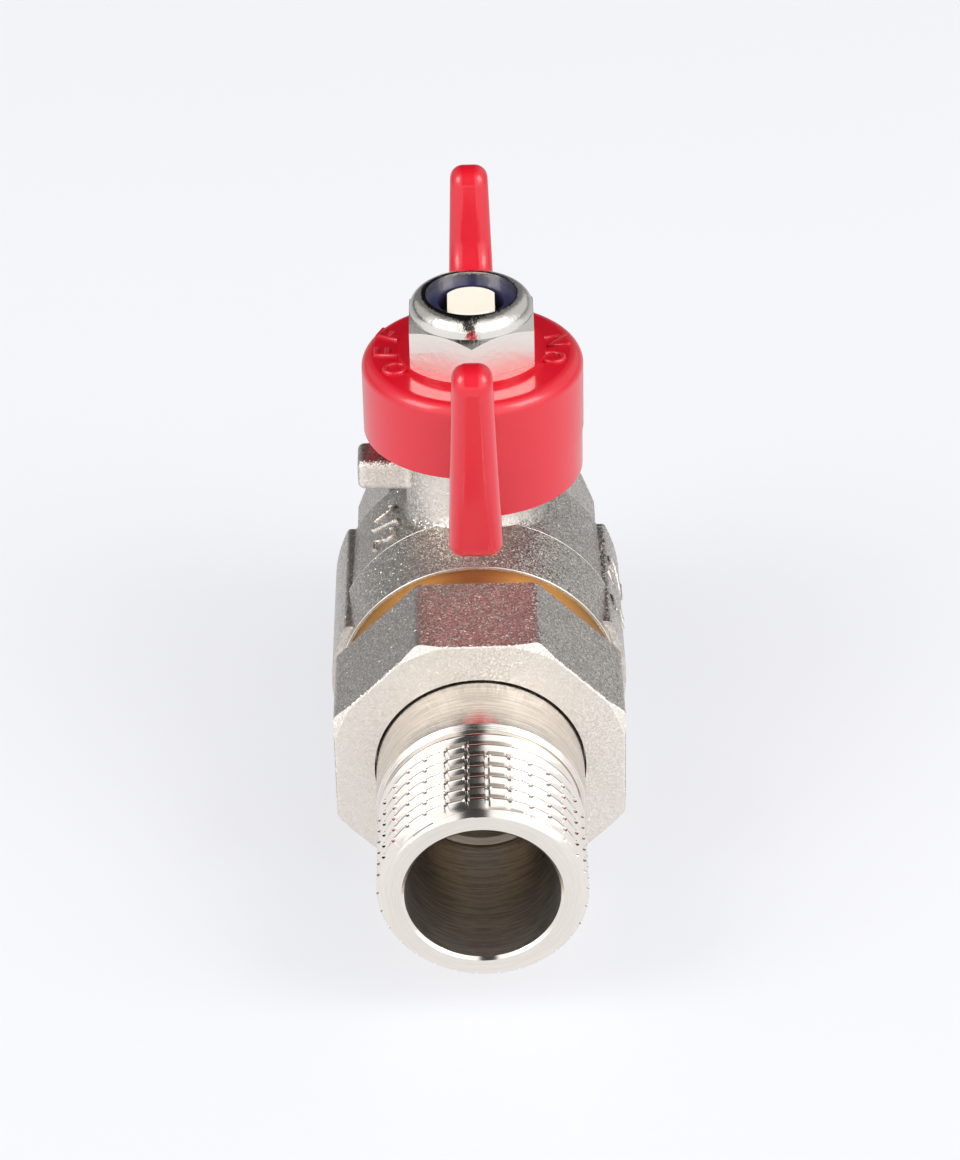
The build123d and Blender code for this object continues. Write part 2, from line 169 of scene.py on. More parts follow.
def make_table():
    """Matt white table, with a glow that the camera and reflections see."""
    material, tree, shader = new_material("table")
    shader.inputs["Base Color"].default_value = (*table_colour, 1)
    shader.inputs["Roughness"].default_value = table_roughness
    shader.inputs["Specular IOR Level"].default_value = table_gloss
    rays = add_node(tree, "ShaderNodeLightPath")
    place = add_node(tree, "ShaderNodeNewGeometry").outputs["Position"]
    split = add_node(tree, "ShaderNodeSeparateXYZ", {0: place})
    reflected = ramp(
        tree, split.outputs["Y"], table_dim_start_y, table_dim_end_y, 1.0, table_back_tone,
    )
    tone = add_node(
        tree, "ShaderNodeMix", {0: rays.outputs["Is Camera Ray"], 2: reflected, 3: 1.0},
        data_type="FLOAT",
    ).outputs[0]
    glow = add_node(tree, "ShaderNodeEmission", {"Color": (*table_glow_colour, 1), "Strength": tone})
    seen = calculate(tree, "MAXIMUM", rays.outputs["Is Camera Ray"], rays.outputs["Is Glossy Ray"])
    share = calculate(tree, "MULTIPLY", seen, table_glow)
    both = add_node(tree, "ShaderNodeMixShader", {0: share, 1: shader.outputs[0], 2: glow.outputs[0]})
    tree.links.new(both.outputs[0], tree.nodes["Material Output"].inputs["Surface"])
    mesh = bpy.data.meshes.new("table")
    half = table_half_width
    z = solid_box[0].z
    corners = [(-half, -half, z), (half, -half, z), (half, half, z), (-half, half, z)]
    mesh.from_pydata(corners, [], [(0, 1, 2, 3)])
    mesh.materials.append(material)
    table = bpy.data.objects.new("table", mesh)
    bpy.context.collection.objects.link(table)


def light_tent():
    """World light: the white tent with its slit, its dim back and its bright sides.

    It depends on the direction of a ray alone, whose parts run from -1 to 1.
    """
    world = bpy.data.worlds.new("tent")
    world.use_nodes = True
    tree = world.node_tree
    background = tree.nodes["Background"]
    background.inputs["Color"].default_value = (*tent_colour, 1)
    direction = add_node(tree, "ShaderNodeTexCoord").outputs["Generated"]
    split = add_node(tree, "ShaderNodeSeparateXYZ", {0: direction})
    from_front = ramp(
        tree, split.outputs["Y"], tent_front_y, tent_back_y, tent_front_strength, tent_back_strength,
    )
    raised = ramp(tree, split.outputs["Z"], raised_start_z, raised_end_z, 0.0, 1.0)
    aside = calculate(tree, "ABSOLUTE", calculate(tree, "SUBTRACT", split.outputs["X"], slit_centre))
    slit = ramp(tree, aside, slit_inner_edge, slit_outer_edge, 1 - slit_strength, 0.0)
    darkening = calculate(tree, "SUBTRACT", 1.0, calculate(tree, "MULTIPLY", slit, raised))
    sides = ramp(tree, aside, side_start, side_end, 0.0, side_strength)
    right = ramp(tree, split.outputs["X"], right_start_x, right_end_x, 0.0, right_strength)
    around = calculate(tree, "ADD", from_front, right)
    tent = calculate(tree, "ADD", around, calculate(tree, "MULTIPLY", sides, raised))
    strength = calculate(tree, "MULTIPLY", tent, darkening)
    tree.links.new(strength, background.inputs["Strength"])
    scene.world = world


def hang_lamp(number, place):
    """Soft lamp, aimed at the ball."""
    data = bpy.data.lights.new(f"lamp_{number}", "AREA")
    data.energy = lamp_power
    data.size = lamp_size
    lamp = bpy.data.objects.new(f"lamp_{number}", data)
    lamp.location = place
    aim = Vector((0, stem_y, 0)) - Vector(place)
    lamp.rotation_euler = aim.to_track_quat("-Z", "Y").to_euler()
    bpy.context.collection.objects.link(lamp)


make_table()
light_tent()
for number, place in enumerate(lamp_places):
    hang_lamp(number, place)


# Body: hot-forged brass, shot-blasted all over and nickel plated, with the female port at the
# back, a round band at the front, flat pads on the sides and the stem's neck on top.
body_colour = (0.40, 0.37, 0.33)
front_colour = (0.82, 0.77, 0.705)
sparkle_colour = (1.0, 0.95, 0.88)
sparkle_power = 2.2
front_sparkle = 0.45
body_roughness = 0.36
front_roughness = 0.52
facet_size = 0.13 * mm
facet_tilt = 0.75
front_facet_tilt = 0.50
front_normal_start = 0.35
front_normal_full = 0.92
dent_size = 0.45 * mm
dent_depth = 0.012 * mm


def blasted_normal(tree, tilt):
    """Normal of blasted metal, tilted at random facet by facet, and each facet's random colour."""
    place = add_node(tree, "ShaderNodeTexCoord").outputs["Object"]
    dents = add_node(
        tree, "ShaderNodeTexNoise", {"Vector": place, "Scale": 1 / dent_size, "Detail": 2.0},
    )
    bump = add_node(
        tree, "ShaderNodeBump",
        {"Height": dents.outputs["Fac"], "Distance": dent_depth, "Strength": 1.0},
    )
    facets = add_node(tree, "ShaderNodeTexVoronoi", {"Vector": place, "Scale": 1 / facet_size})
    chance = facets.outputs["Color"]
    centred = add_node(
        tree, "ShaderNodeVectorMath", {0: chance, 1: (0.5, 0.5, 0.5)}, operation="SUBTRACT",
    )
    tilted = add_node(
        tree, "ShaderNodeVectorMath", {0: centred.outputs[0], "Scale": tilt}, operation="SCALE",
    )
    mixed = add_node(
        tree, "ShaderNodeVectorMath", {0: bump.outputs["Normal"], 1: tilted.outputs[0]}, operation="ADD",
    )
    direction = add_node(tree, "ShaderNodeVectorMath", {0: mixed.outputs[0]}, operation="NORMALIZE")
    return direction.outputs[0], chance


def mix_colours(tree, share, first, second):
    """Colour between two, each given as three numbers or as a socket."""
    if not isinstance(first, bpy.types.NodeSocket):
        first = (*first, 1)
    if not isinstance(second, bpy.types.NodeSocket):
        second = (*second, 1)
    return add_node(
        tree, "ShaderNodeMix", {0: share, 6: first, 7: second}, data_type="RGBA",
    ).outputs[2]


def blasted_shine(tree, shader, colour, tilt, sparkle):
    """Gives a shader the blasted normal, and a few facets that shine brighter than the rest."""
    normal, chance = blasted_normal(tree, tilt)
    red = add_node(tree, "ShaderNodeSeparateColor", {0: chance}).outputs[0]
    shining = calculate(tree, "MULTIPLY", calculate(tree, "POWER", red, sparkle_power), sparkle)
    tree.links.new(mix_colours(tree, shining, colour, sparkle_colour), shader.inputs["Base Color"])
    tree.links.new(normal, shader.inputs["Normal"])


def blasted_metal(name):
    """Coarsely blasted metal, finer and paler on the faces that look towards the tail."""
    material, tree, shader = new_material(name)
    normal = add_node(tree, "ShaderNodeTexCoord").outputs["Normal"]
    split = add_node(tree, "ShaderNodeSeparateXYZ", {0: normal})
    towards_tail = calculate(tree, "MULTIPLY", split.outputs["Y"], -1.0)
    on_front = ramp(tree, towards_tail, front_normal_start, front_normal_full, 0.0, 1.0)
    shader.inputs["Metallic"].default_value = 1
    roughness = ramp(tree, on_front, 0.0, 1.0, body_roughness, front_roughness)
    tree.links.new(roughness, shader.inputs["Roughness"])
    colour = mix_colours(tree, on_front, body_colour, front_colour)
    tilt = ramp(tree, on_front, 0.0, 1.0, facet_tilt, front_facet_tilt)
    sparkle = ramp(tree, on_front, 0.0, 1.0, 1.0, front_sparkle)
    blasted_shine(tree, shader, colour, tilt, sparkle)
    return material


def finish_node(name, material):
    """Gives a node's solid its own finish."""
    node = frame["nodes"][name]
    node.data.materials.clear()
    node.data.materials.append(material)


blasted_nickel = blasted_metal("blasted_nickel")
finish_node("valve_body", blasted_nickel)


# Marks on the body's left shoulder and right pad: generic sizes in raised strokes, forged with
# the body and worn soft by the blasting.
shoulder_mark_radius = 15.2 * mm
pad_mark_radius = 15.7 * mm
mark_stroke = 0.26 * mm
mark_advance = 0.85
left_mark_height = 3.0 * mm
left_mark_angle = radians(-46)
left_mark_start_y = stem_y + 2.7 * mm
right_mark_height = 4.5 * mm
right_mark_angle = radians(82)
right_mark_start_y = stem_y - 9.5 * mm
digit_one = [[(0.1, 0.72), (0.35, 1.0), (0.35, 0.0)]]
digit_two = [[
    (0.0, 0.8), (0.12, 0.96), (0.35, 1.0), (0.55, 0.88),
    (0.58, 0.68), (0.4, 0.42), (0.0, 0.0), (0.62, 0.0),
]]
slash = [[(0.0, -0.1), (0.5, 1.1)]]


def stroke_curve(name, strokes, radius, body, material):
    """Raised strokes as one curve of round bars, each along its own points."""
    curve = bpy.data.curves.new(name, "CURVE")
    curve.dimensions = "3D"
    curve.bevel_depth = radius
    curve.bevel_resolution = 2
    curve.use_fill_caps = True
    for points in strokes:
        spline = curve.splines.new("POLY")
        spline.points.add(len(points) - 1)
        for target, point in zip(spline.points, points):
            target.co = (*point, 1)
    curve.materials.append(material)
    piece = bpy.data.objects.new(name, curve)
    bpy.context.collection.objects.link(piece)
    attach(piece, body)


def mark_strokes(text_strokes, height, on_surface):
    """Strokes of a row of characters, their points placed by a function of along and up."""
    placed = []
    along = 0.0
    for strokes in text_strokes:
        for stroke in strokes:
            placed.append([on_surface(along + x * height, y * height) for x, y in stroke])
        along += mark_advance * height
    return placed


def on_round_body(radius, start_angle, start_y):
    """Function that places text on a side of the round body, its tops towards the stem."""
    side = 1 if start_angle > 0 else -1

    def place(along, up):
        angle = start_angle - side * up / radius
        y = start_y + side * along
        return (radius * sin(angle), y, radius * cos(angle))

    return place


half_inch = [digit_one, slash, digit_two]
on_shoulder = on_round_body(shoulder_mark_radius, left_mark_angle, left_mark_start_y)
on_pad = on_round_body(pad_mark_radius, right_mark_angle, right_mark_start_y)
stroke_curve(
    "size_mark_left", mark_strokes(half_inch, left_mark_height, on_shoulder),
    mark_stroke, "valve", blasted_nickel,
)
stroke_curve(
    "size_mark_right", mark_strokes(half_inch, right_mark_height, on_pad),
    mark_stroke, "valve", blasted_nickel,
)


# Bright edges of the body: the turned lip of its mouth, and the band's back edge that tumbling
# has polished to a hair line. A plain ring fills two shallow grooves that the solid's neck has
# at the level of the lug's edges.
lip_colour = (0.95, 0.93, 0.90)
worn_colour = (0.70, 0.67, 0.63)
lip_radius = 14.86 * mm
lip_y = stem_y - 14.78 * mm
lip_stroke = 0.08 * mm
crease_radius = 15.385 * mm
crease_y = stem_y - 6.38 * mm
crease_stroke = 0.068 * mm
neck_radius = 7.404 * mm
neck_inner_radius = 6.0 * mm
neck_ring_bottom = 16.8 * mm
neck_ring_top = 20.5 * mm
neck_ring_columns = 192
sharp_angle = radians(35)


def ring_points(radius, y, count=240):
    """Points of a closed ring about the flow axis."""
    angles = [2 * pi * step / count for step in range(count + 1)]
    return [(radius * sin(angle), y, radius * cos(angle)) for angle in angles]


def object_of(mesh, name):
    """Object of a finished mesh, smooth but for its sharp edges."""
    bmesh.ops.recalc_face_normals(mesh, faces=mesh.faces)
    data = bpy.data.meshes.new(name)
    mesh.to_mesh(data)
    mesh.free()
    data.polygons.foreach_set("use_smooth", [True] * len(data.polygons))
    data.set_sharp_from_angle(angle=sharp_angle)
    piece = bpy.data.objects.new(name, data)
    bpy.context.collection.objects.link(piece)
    return piece


def make_neck_ring():
    """Plain ring about the stem's axis with square ends."""
    mesh = bmesh.new()
    corners = (
        (neck_inner_radius, neck_ring_bottom), (neck_radius, neck_ring_bottom),
        (neck_radius, neck_ring_top), (neck_inner_radius, neck_ring_top),
    )
    grid = []
    for radius, z in corners:
        angles = [2 * pi * column / neck_ring_columns for column in range(neck_ring_columns)]
        grid.append([
            mesh.verts.new((radius * sin(angle), stem_y + radius * cos(angle), z)) for angle in angles
        ])
    for row, ring in enumerate(grid):
        following = grid[(row + 1) % len(grid)]
        for column in range(neck_ring_columns):
            after = (column + 1) % neck_ring_columns
            mesh.faces.new((ring[column], ring[after], following[after], following[column]))
    ring = object_of(mesh, "neck_ring")
    ring.data.materials.append(blasted_nickel)
    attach(ring, "valve")


def polished_metal(name, colour, roughness):
    """Smooth bare or plated metal."""
    material, _, shader = new_material(name)
    shader.inputs["Base Color"].default_value = (*colour, 1)
    shader.inputs["Metallic"].default_value = 1
    shader.inputs["Roughness"].default_value = roughness
    return material


stroke_curve(
    "mouth_lip", [ring_points(lip_radius, lip_y)], lip_stroke, "valve",
    polished_metal("turned_lip", lip_colour, roughness=0.3),
)
stroke_curve(
    "band_edge", [ring_points(crease_radius, crease_y)], crease_stroke, "valve",
    polished_metal("worn_edge", worn_colour, roughness=0.3),
)
make_neck_ring()


# Ball: drilled and slotted brass, chromed and polished to a mirror. It turns between two white
# seats that seal on it, and more of their white plastic seals the stem.
ball_colour = (0.80, 0.80, 0.81)
seat_colour = (0.86, 0.86, 0.84)


def dull_finish(name, colour, roughness, grain_size, grain_depth):
    """Plastic, rubber, fibre or dull pale metal with a faint grain."""
    material, tree, shader = new_material(name)
    shader.inputs["Base Color"].default_value = (*colour, 1)
    shader.inputs["Roughness"].default_value = roughness
    place = add_node(tree, "ShaderNodeTexCoord").outputs["Object"]
    grain = add_node(
        tree, "ShaderNodeTexNoise", {"Vector": place, "Scale": 1 / grain_size, "Detail": 2.0},
    )
    bump = add_node(
        tree, "ShaderNodeBump",
        {"Height": grain.outputs["Fac"], "Distance": grain_depth, "Strength": 1.0},
    )
    tree.links.new(bump.outputs["Normal"], shader.inputs["Normal"])
    return material


finish_node("ball", polished_metal("chrome", ball_colour, roughness=0.06))
ptfe = dull_finish("ptfe", seat_colour, roughness=0.35, grain_size=0.2 * mm, grain_depth=0.004 * mm)
for name in ("seat_front", "seat_rear", "stem_thrust_washer", "stem_packing"):
    finish_node(name, ptfe)


# Threads: pipe threads of the real form, rounded at crest and root, on the tail, on the
# connector and in the port. Each is one helical grid between plain rings.
pitch = 1.814 * mm
thread_depth = 1.162 * mm
thread_rounding = 0.249 * mm
arc_end = 0.2209 * mm
flank_slope = 1.921
row_phases = (
    0, 0.04, 0.08, 0.1218, 0.25, 0.378, 0.42, 0.46,
    0.5, 0.54, 0.58, 0.622, 0.75, 0.8782, 0.92, 0.96,
)
weld_distance = 0.0005 * mm


def thread_drop(phase):
    """How far the thread's surface is below its crest, at a share of the pitch from it."""
    distance = abs(phase - floor(phase + 0.5)) * pitch
    if distance < arc_end:
        return thread_rounding - sqrt(thread_rounding**2 - distance**2)
    if pitch / 2 - distance < arc_end:
        near_root = pitch / 2 - distance
        return thread_depth - thread_rounding + sqrt(thread_rounding**2 - near_root**2)
    arc_drop = thread_rounding - sqrt(thread_rounding**2 - arc_end**2)
    return arc_drop + (distance - arc_end) * flank_slope


def threaded_lathe(name, rings_before, thread, rings_after, columns, radius_at):
    """Closed mesh turned about the flow axis whose middle rows follow a right-hand thread.

    The rings are (y, radius) pairs. The thread is (start y, end y, y of one crest at the top),
    with falling y, and radius_at(y, turn, phase) gives its radius there.
    """
    start_y, end_y, crest_y = thread
    first_row = -1 - int((start_y - crest_y) / pitch + 2) * len(row_phases)
    last_row = int((crest_y - end_y) / pitch + 2) * len(row_phases)
    mesh = bmesh.new()
    rows = []
    for y, radius in rings_before:
        rows.append([(y, radius)] * columns)
    for row in range(first_row, last_row + 1):
        turns, step = divmod(row, len(row_phases))
        line = []
        for column in range(columns):
            angle_share = column / columns
            free_y = crest_y + pitch * (angle_share - turns - row_phases[step])
            y = min(max(free_y, end_y), start_y)
            phase = (crest_y + pitch * angle_share - y) / pitch
            line.append((y, radius_at(y, angle_share, phase)))
        rows.append(line)
    for y, radius in rings_after:
        rows.append([(y, radius)] * columns)
    helical = range(len(rings_before), len(rings_before) + last_row - first_row + 1)
    grid = []
    for line in rows:
        grid.append([
            mesh.verts.new((radius * sin(2 * pi * c / columns), y, radius * cos(2 * pi * c / columns)))
            for c, (y, radius) in enumerate(line)
        ])
    turn_rows = len(row_phases)
    count = len(grid)
    for row in range(count):
        following = (row + 1) % count
        for column in range(columns):
            if column < columns - 1:
                corners = (
                    grid[row][column], grid[row][column + 1],
                    grid[following][column + 1], grid[following][column],
                )
            else:
                near, far = [
                    max(place - turn_rows, helical[0]) if place in helical else place
                    for place in (row, following)
                ]
                corners = (grid[row][column], grid[near][0], grid[far][0], grid[following][column])
            mesh.faces.new(tuple(dict.fromkeys(corners)))
    bmesh.ops.remove_doubles(mesh, verts=mesh.verts, dist=weld_distance)
    return object_of(mesh, name)


# Port: a female half-inch pipe thread cut into the body's back end. Its ridges are the piece;
# the hole behind them is the solid's own.
port_start_y = -0.02 * mm
port_end_y = -10.45 * mm
port_crest_y = -1.2 * mm
port_end_step = 0.01 * mm
port_columns = 240
port_root_radius = 10.4775 * mm
port_backing_radius = 10.50 * mm
port_mouth_chamfer = 0.9 * mm
cut_nickel_colour = (0.78, 0.73, 0.67)


def port_radius_at(y, turn, phase):
    """Radius of the port's thread: its ridges cut down by the chamfer of the mouth."""
    slope = thread_depth / port_mouth_chamfer
    mouth = port_root_radius - thread_depth + (y + port_mouth_chamfer) * slope
    return min(max(port_root_radius - thread_drop(phase), mouth), port_root_radius)


port_thread = threaded_lathe(
    "port_thread",
    [(port_start_y + port_end_step, port_backing_radius)],
    (port_start_y, port_end_y, port_crest_y),
    [(port_end_y - port_end_step, port_backing_radius)],
    port_columns, port_radius_at,
)
port_thread.data.materials.append(polished_metal("cut_nickel", cut_nickel_colour, roughness=0.32))
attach(port_thread, "valve")


# Connector: raw turned brass, screwed into the body's mouth over an O-ring. Its flange shows
# as a golden rim in front of the body, and its fine outer thread carries the union nut.
brass_colour = (1.0, 0.74, 0.43)
rubber_colour = (0.02, 0.02, 0.02)
# Painted shade on the brass near the valve's middle plane: its tint, and where it fades out.
middle_shade_tint = (0.82, 0.73, 0.78)
middle_shade_start = 0.5 * mm
middle_shade_end = 5.5 * mm
connector_nose_y = stem_y - 22.9 * mm
union_crest_radius = 13.2205 * mm
union_lead = 0.8 * mm
union_thread_end_y = connector_nose_y + 6.9 * mm
union_top_crest_y = connector_nose_y + 2.1 * mm
connector_columns = 360
union_relief_radius = 12.2 * mm
flange_radius = 14.55 * mm
flange_front_y = stem_y - 14.5 * mm
flange_back_y = flange_front_y + 2.5 * mm
body_thread_radius = 12.6 * mm
seat_pocket_radius = 10.6 * mm
seat_inner_y = stem_y - 6.4 * mm
seat_outer_y = stem_y - 10.4 * mm
waterway_radius = 7.2 * mm
flange_edge = 0.12 * mm
marks_per_radian = 2.5
marks_low = 0.4
marks_high = 0.6


def turned_metal(name, colour, roughness, mark_spacing, mark_depth, mark_tone):
    """Metal with the fine rings that a lathe tool leaves, on faces and cylinders alike.

    The mark tone is the share of the colour that is left in the bottom of the marks.
    """
    material, tree, shader = new_material(name)
    shader.inputs["Metallic"].default_value = 1
    shader.inputs["Roughness"].default_value = roughness
    place = add_node(tree, "ShaderNodeTexCoord").outputs["Object"]
    split = add_node(tree, "ShaderNodeSeparateXYZ", {0: place})
    x, y, z = (split.outputs[axis] for axis in ("X", "Y", "Z"))
    across = add_node(tree, "ShaderNodeCombineXYZ", {"X": x, "Y": z})
    radius = add_node(tree, "ShaderNodeVectorMath", {0: across.outputs[0]}, operation="LENGTH")
    turn = calculate(tree, "ABSOLUTE", calculate(tree, "ARCTAN2", x, z))
    angle = calculate(tree, "MULTIPLY", turn, mark_spacing * marks_per_radian)
    rings = add_node(tree, "ShaderNodeCombineXYZ", {"X": radius.outputs["Value"], "Y": y, "Z": angle})
    marks = add_node(
        tree, "ShaderNodeTexNoise",
        {"Vector": rings.outputs[0], "Scale": 1 / mark_spacing, "Detail": 3.0, "Roughness": 0.7},
    ).outputs["Fac"]
    bump = add_node(tree, "ShaderNodeBump", {"Height": marks, "Distance": mark_depth, "Strength": 1.0})
    tree.links.new(bump.outputs["Normal"], shader.inputs["Normal"])
    dark = tuple(mark_tone * part for part in colour)
    share = ramp(tree, marks, marks_low, marks_high, 0.0, 1.0)
    tree.links.new(mix_colours(tree, share, dark, colour), shader.inputs["Base Color"])
    return material


def union_radius_at(y, turn, phase):
    """Radius of the connector's thread: its crests cut down by the lead at the nose."""
    lead = union_crest_radius - union_lead + (y - connector_nose_y)
    return min(union_crest_radius - thread_drop(phase), lead)


def paint_middle_shade(material):
    """Darkens and browns a material's colour near the middle plane of the valve: painted shade, where
    the handle shades it.
    """
    tree = material.node_tree
    base = tree.nodes["Principled BSDF"].inputs["Base Color"]
    clean = base.links[0].from_socket
    place = add_node(tree, "ShaderNodeTexCoord").outputs["Object"]
    x = add_node(tree, "ShaderNodeSeparateXYZ", {0: place}).outputs["X"]
    share = ramp(tree, calculate(tree, "ABSOLUTE", x), middle_shade_start, middle_shade_end, 0.0, 1.0)
    tint = mix_colours(tree, share, middle_shade_tint, (1.0, 1.0, 1.0))
    mixed = add_node(
        tree, "ShaderNodeMix", {0: 1.0, 6: clean, 7: tint}, data_type="RGBA", blend_type="MULTIPLY",
    )
    tree.links.new(mixed.outputs[2], base)


raw_brass = turned_metal(
    "raw_brass", brass_colour, roughness=0.33,
    mark_spacing=0.15 * mm, mark_depth=0.008 * mm, mark_tone=0.86,
)
# Painted shade: the brass turns darker and browner near the valve's middle plane.
paint_middle_shade(raw_brass)
connector = threaded_lathe(
    "dressed_connector",
    [
        (seat_outer_y, waterway_radius), (seat_outer_y, seat_pocket_radius),
        (seat_inner_y, seat_pocket_radius), (seat_inner_y, body_thread_radius),
        (flange_back_y, body_thread_radius), (flange_back_y, flange_radius),
        (flange_front_y + flange_edge, flange_radius), (flange_front_y, flange_radius - flange_edge),
        (flange_front_y, union_relief_radius), (union_thread_end_y, union_relief_radius),
    ],
    (union_thread_end_y, connector_nose_y, union_top_crest_y),
    [(connector_nose_y, waterway_radius)],
    connector_columns, union_radius_at,
)
connector.data.materials.append(raw_brass)
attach(connector, "valve")
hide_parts("end_connector")
rubber = dull_finish(
    "rubber", rubber_colour, roughness=0.5, grain_size=0.2 * mm, grain_depth=0.003 * mm,
)
for name in ("connector_o_ring", "stem_o_ring_lower", "stem_o_ring_upper"):
    finish_node(name, rubber)


# Stem: pale turned brass, its flatted and threaded end showing in the lock nut, with the
# gland nut that squeezes its packing under the handle.
stem_colour = (0.98, 0.90, 0.76)
stem_brass = dull_finish(
    "stem_brass", stem_colour, roughness=0.35, grain_size=0.3 * mm, grain_depth=0.01 * mm,
)
finish_node("stem", stem_brass)
finish_node("gland_nut", raw_brass)


# Tail: turned brass, nickel plated, with a collar that the union nut pulls, a plain neck with
# tool marks, and a half-inch pipe thread whose crests are notched to hold hemp. The neck is a
# little thicker than the solid's, and nearly fills the nut's hole.
nickel_colour = (0.83, 0.775, 0.71)
tail_inner_y = connector_nose_y - 1.5 * mm
tail_collar_radius = 12.9 * mm
tail_collar_front_y = tail_inner_y - 2.8 * mm
tail_neck_radius = 10.72 * mm
tail_end_y = tail_inner_y - 27.35 * mm
tail_relief_start_y = tail_end_y + 13.85 * mm
tail_thread_start_y = tail_relief_start_y - 0.9 * mm
tail_relief_radius = 10.05 * mm
tail_neck_chamfer = 0.45 * mm
tail_crest_radius = 10.4775 * mm
tail_top_crest_y = -63.2 * mm
tail_end_chamfer_length = 0.6 * mm
tail_end_chamfer_depth = 0.95 * mm
mouth_radius = 7.745 * mm
bore_face_radius = 7.8 * mm
bore_colour = (0.82, 0.77, 0.71)
# Painted shade: the bore beyond the mouth's step is coloured as a darker copy of the nickel.
shaded_bore_colour = (0.42, 0.38, 0.33)
bore_slot, neck_slot, shaded_bore_slot = 1, 2, 3
fibre_colour = (0.30, 0.12, 0.07)
mouth_chamfer = 0.3 * mm
mouth_step_y = tail_end_y + 18.85 * mm
tail_columns = 600
notch_count = 30
notch_turn = 4 / 360
notch_half_width = 0.17 * mm
notch_depth = 0.22 * mm
burr_width = 0.12 * mm
burr_height = 0.05 * mm


def tail_radius_at(y, turn, phase):
    """Radius of the tail's thread: its end cut down by the chamfer, its crests by notches."""
    slope = tail_end_chamfer_depth / tail_end_chamfer_length
    chamfer = tail_crest_radius - tail_end_chamfer_depth + slope * (y - tail_end_y)
    radius = min(tail_crest_radius - thread_drop(phase), chamfer)
    from_notch = (turn - notch_turn) * notch_count
    off_notch = abs(from_notch - floor(from_notch + 0.5)) / notch_count * 2 * pi * tail_crest_radius
    # The crest next to the neck has no notches.
    if phase < 0.5:
        return radius
    if off_notch < notch_half_width:
        return min(radius, tail_crest_radius - notch_depth)
    if off_notch < notch_half_width + burr_width and radius > tail_crest_radius - burr_height:
        return radius + burr_height
    return radius


tail = threaded_lathe(
    "dressed_tail",
    [
        (tail_inner_y, waterway_radius), (tail_inner_y, tail_collar_radius),
        (tail_collar_front_y, tail_collar_radius), (tail_collar_front_y, tail_neck_radius),
        (tail_relief_start_y + tail_neck_chamfer, tail_neck_radius),
        (tail_relief_start_y, tail_neck_radius - tail_neck_chamfer),
        (tail_relief_start_y, tail_relief_radius),
        (tail_thread_start_y, tail_relief_radius),
    ],
    (tail_thread_start_y, tail_end_y, tail_top_crest_y),
    [
        (tail_end_y, mouth_radius + mouth_chamfer), (tail_end_y + mouth_chamfer, mouth_radius),
        (mouth_step_y, mouth_radius), (mouth_step_y + mouth_radius - waterway_radius, waterway_radius),
    ],
    tail_columns, tail_radius_at,
)
tail.data.materials.append(turned_metal(
    "turned_nickel", nickel_colour, roughness=0.12,
    mark_spacing=0.15 * mm, mark_depth=0.003 * mm, mark_tone=0.95,
))
tail.data.materials.append(turned_metal(
    "bored_nickel", bore_colour, roughness=0.36,
    mark_spacing=0.30 * mm, mark_depth=0.02 * mm, mark_tone=0.7,
))
tail.data.materials.append(turned_metal(
    "neck_nickel", nickel_colour, roughness=0.16,
    mark_spacing=0.14 * mm, mark_depth=0.014 * mm, mark_tone=0.72,
))
# Painted shade deep in the bore, beyond the mouth's step.
tail.data.materials.append(turned_metal(
    "deep_nickel", shaded_bore_colour, roughness=0.30,
    mark_spacing=0.30 * mm, mark_depth=0.01 * mm, mark_tone=0.8,
))
for face in tail.data.polygons:
    if face.center.xz.length < bore_face_radius:
        behind_step = face.center.y > mouth_step_y
        face.material_index = shaded_bore_slot if behind_step else bore_slot
    elif face.center.y > tail_relief_start_y:
        face.material_index = neck_slot
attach(tail, "tail")
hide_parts("tail_piece")
fibre = dull_finish(
    "fibre", fibre_colour, roughness=0.6, grain_size=0.3 * mm, grain_depth=0.01 * mm,
)
finish_node("union_gasket", fibre)


# Union nut: an octagon of forged brass, its flats coarsely blasted and its front face turned
# fine and pale, then nickel plated as the body is.
finish_node("union_nut", blasted_nickel)


# Handle: an aluminium butterfly, die-cast and painted a glossy red. It sits on the flats of the
# stem, and its cut-away skirt runs against the body's stop lug.
red_colour = (0.67, 0.006, 0.021)
coat_roughness = 0.12
ripple_size = 2.0 * mm
ripple_depth = 0.02 * mm


def gloss_paint(name, colour, roughness, coat):
    """Paint under a clear coat, with the slow ripple of a thick layer."""
    material, tree, shader = new_material(name)
    shader.inputs["Base Color"].default_value = (*colour, 1)
    shader.inputs["Roughness"].default_value = roughness
    shader.inputs["Coat Weight"].default_value = coat
    shader.inputs["Coat Roughness"].default_value = coat_roughness
    place = add_node(tree, "ShaderNodeTexCoord").outputs["Object"]
    ripple = add_node(tree, "ShaderNodeTexNoise", {"Vector": place, "Scale": 1 / ripple_size})
    bump = add_node(
        tree, "ShaderNodeBump",
        {"Height": ripple.outputs["Fac"], "Distance": ripple_depth, "Strength": 1.0},
    )
    tree.links.new(bump.outputs["Normal"], shader.inputs["Normal"])
    return material


red_paint = gloss_paint("red_paint", red_colour, roughness=0.28, coat=0.5)
finish_node("handle", red_paint)


# Letters on the hub: the two switch words, cast with the handle around its top and painted
# over. Each letter stands square to the hub's radius.
hub_top = 32.3 * mm
letter_lift = 0.02 * mm
letter_middle = (0.45, 0.5)
letter_height = 2.4 * mm
letter_stroke = 0.29 * mm
letter_o = [[
    (0.5 + 0.42 * cos(step * pi / 8), 0.5 + 0.5 * sin(step * pi / 8)) for step in range(17)
]]
letter_f = [[(0.1, 0.0), (0.1, 1.0), (0.75, 1.0)], [(0.1, 0.52), (0.65, 0.52)]]
letter_n = [[(0.08, 0.0), (0.08, 1.0), (0.85, 0.0), (0.85, 1.0)]]
letter_places = (
    (letter_o, -8.0, -3.44), (letter_f, -8.94, 0.37), (letter_f, -8.56, 4.06),
    (letter_o, 8.38, -1.67), (letter_n, 8.95, 1.88),
)


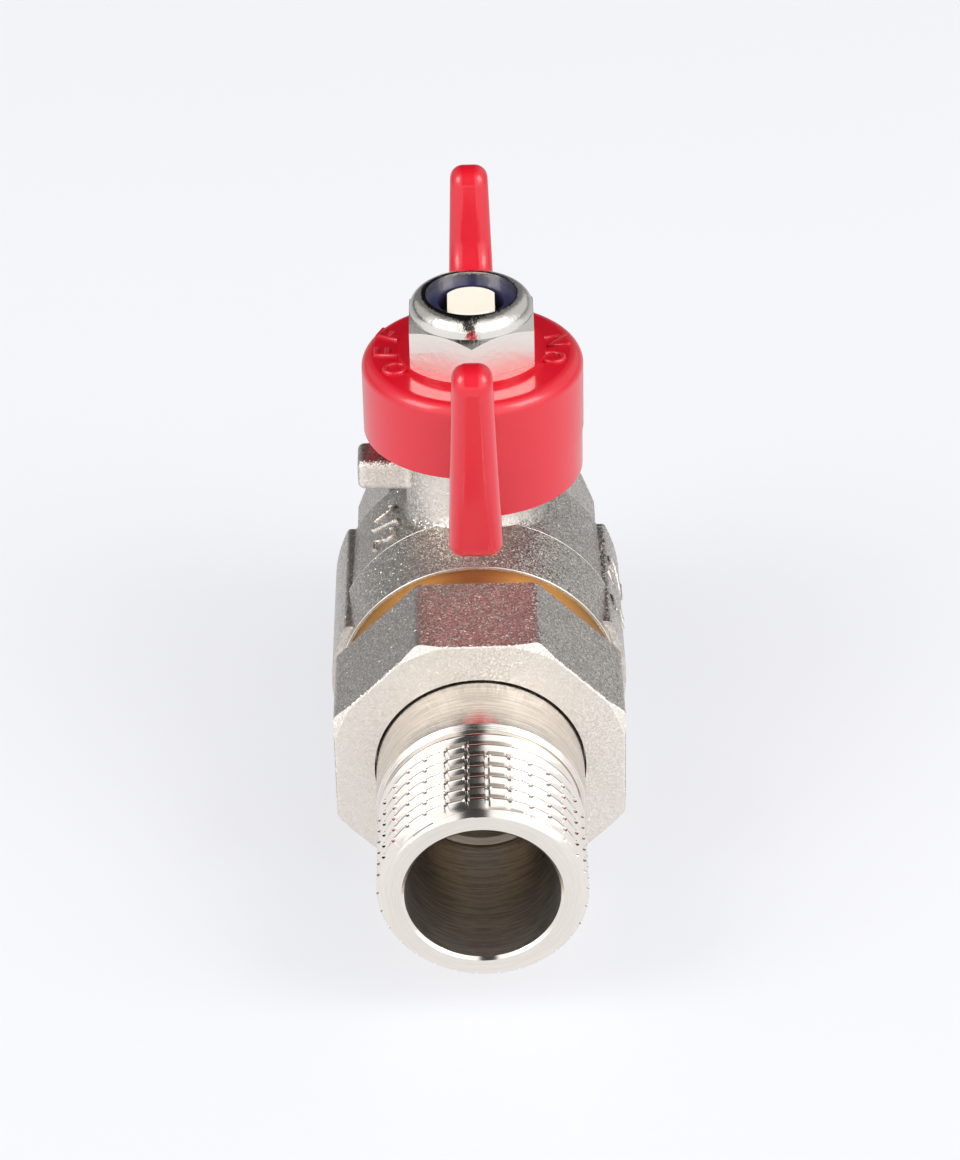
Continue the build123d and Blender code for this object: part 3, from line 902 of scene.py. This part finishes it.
def hub_letter_strokes():
    """Strokes of all letters, placed and turned around the hub."""
    placed = []
    for letter, x, y in letter_places:
        lean = atan2(abs(x), -y if x > 0 else y)
        for stroke in letter:
            points = []
            for along, up in stroke:
                aside = (along - letter_middle[0]) * letter_height
                above = (up - letter_middle[1]) * letter_height
                points.append((
                    x * mm + aside * cos(lean) - above * sin(lean),
                    stem_y + y * mm + aside * sin(lean) + above * cos(lean),
                    hub_top + letter_lift,
                ))
            placed.append(points)
    return placed


stroke_curve("hub_letters", hub_letter_strokes(), letter_stroke, "handle", red_paint)


# Lock nut: bright zinc-plated steel with a navy nylon ring that grips the stem's thread. Its
# rolled collar shines more than the flats.
zinc_colour = (0.80, 0.76, 0.70)
nylon_colour = (0.02, 0.02, 0.07)
flat_roughness = 0.3
collar_roughness = 0.11
collar_start_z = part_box("handle_nut")[1].z - 2.5 * mm
collar_end_z = collar_start_z + 0.6 * mm
wave_size = 0.7 * mm
wave_depth = 0.05 * mm


def zinc_plating(name, colour):
    """Bright plating over a forged surface, with soft shallow waves."""
    material, tree, shader = new_material(name)
    shader.inputs["Base Color"].default_value = (*colour, 1)
    shader.inputs["Metallic"].default_value = 1
    place = add_node(tree, "ShaderNodeTexCoord").outputs["Object"]
    height = add_node(tree, "ShaderNodeSeparateXYZ", {0: place}).outputs["Z"]
    roughness = ramp(tree, height, collar_start_z, collar_end_z, flat_roughness, collar_roughness)
    tree.links.new(roughness, shader.inputs["Roughness"])
    waves = add_node(
        tree, "ShaderNodeTexNoise", {"Vector": place, "Scale": 1 / wave_size, "Detail": 4.0},
    )
    bump = add_node(
        tree, "ShaderNodeBump",
        {"Height": waves.outputs["Fac"], "Distance": wave_depth, "Strength": 1.0},
    )
    tree.links.new(bump.outputs["Normal"], shader.inputs["Normal"])
    return material


finish_node("handle_nut", zinc_plating("bright_zinc", zinc_colour))
nylon = dull_finish(
    "nylon", nylon_colour, roughness=0.35, grain_size=0.3 * mm, grain_depth=0.004 * mm,
)
finish_node("handle_nut_insert", nylon)
